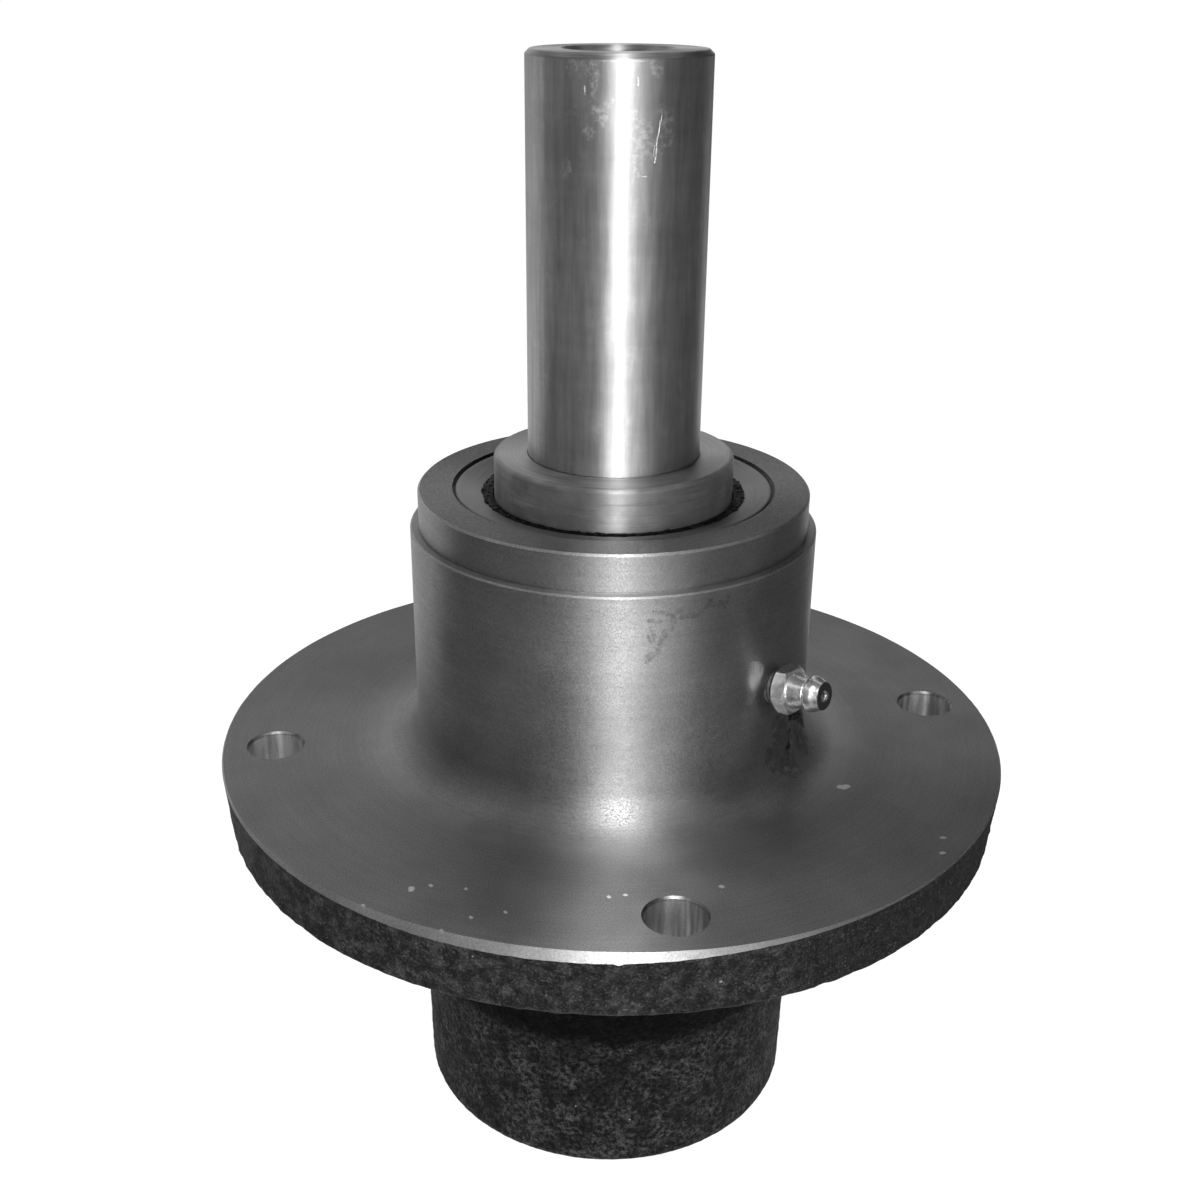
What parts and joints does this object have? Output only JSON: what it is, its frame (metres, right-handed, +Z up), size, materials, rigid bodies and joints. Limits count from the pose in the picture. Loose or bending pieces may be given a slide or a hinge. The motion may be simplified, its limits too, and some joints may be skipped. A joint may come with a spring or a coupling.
{
  "type": "mower deck spindle",
  "caption": "Mower deck spindle: flanged iron housing with taper roller bearings, oil seals, a grease fitting and a hollow steel shaft standing out of its top.",
  "frame": {"origin": "centre of the bolt circle, on the mounting flange's machined top face and on the spindle axis", "axes": "+Z up the spindle axis towards the pulley end of the shaft; the picture looks along +Y, with +X to its right"},
  "size_m": [0.1524, 0.1524, 0.2127],
  "materials": {
    "cast_iron_housing": "machined dark grey above, rough as cast below",
    "ground_steel_shaft": "ground, lightly scratched",
    "turned_steel_collar": "turned, with fine rings",
    "inner_steel": "plain drawn tube",
    "seal_case_steel": "dark pressed steel",
    "seal_rubber": "black moulded rubber",
    "spring_steel": "drawn spring wire",
    "bearing_steel": "fine ground",
    "cage_steel": "pressed sheet, oiled",
    "plated_fitting": "bright zinc plate"
  },
  "bodies": {
    "housing": {"housing": "cast_iron_housing", "upper_bearing_cup": "bearing_steel", "lower_bearing_cup": "bearing_steel", "upper_seal_case": "seal_case_steel", "upper_seal_lip": "seal_rubber", "upper_seal_spring": "spring_steel", "lower_seal_case": "seal_case_steel", "lower_seal_lip": "seal_rubber", "lower_seal_spring": "spring_steel", "grease_fitting_body": "plated_fitting", "grease_fitting_spring": "spring_steel"},
    "spindle": {"spindle_shaft": "ground_steel_shaft", "upper_collar": "turned_steel_collar", "lower_collar": "turned_steel_collar", "inner_spacer": "inner_steel", "upper_bearing_cone": "bearing_steel", "lower_bearing_cone": "bearing_steel"},
    "upper_roller_set": {"upper_bearing_rollers": "bearing_steel", "upper_bearing_cage": "cage_steel"},
    "lower_roller_set": {"lower_bearing_rollers": "bearing_steel", "lower_bearing_cage": "cage_steel"},
    "grease_ball": {"grease_fitting_ball": "bearing_steel"}
  },
  "joints": [
    {"name": "spindle_spin", "type": "hinge", "parent": "housing", "child": "spindle", "pos_m": [0, 0, 0], "axis": [0, 0, 1], "continuous": true},
    {"name": "upper_rollers_orbit", "type": "hinge", "parent": "housing", "child": "upper_roller_set", "pos_m": [0, 0, 0], "axis": [0, 0, 1], "continuous": true},
    {"name": "lower_rollers_orbit", "type": "hinge", "parent": "housing", "child": "lower_roller_set", "pos_m": [0, 0, 0], "axis": [0, 0, 1], "continuous": true},
    {"name": "grease_ball_lift", "type": "slide", "parent": "housing", "child": "grease_ball", "axis": [-0.7696, 0.6232, -0.1392], "range_m": [0, 0.001], "stiffness_N_per_m": 20, "springref_m": -0.004, "deforming": ["grease_fitting_spring"]}
  ],
  "couplings": [
    {"joint": "upper_rollers_orbit", "follows": "spindle_spin", "ratio": 0.43247},
    {"joint": "lower_rollers_orbit", "follows": "spindle_spin", "ratio": 0.43247}
  ]
}
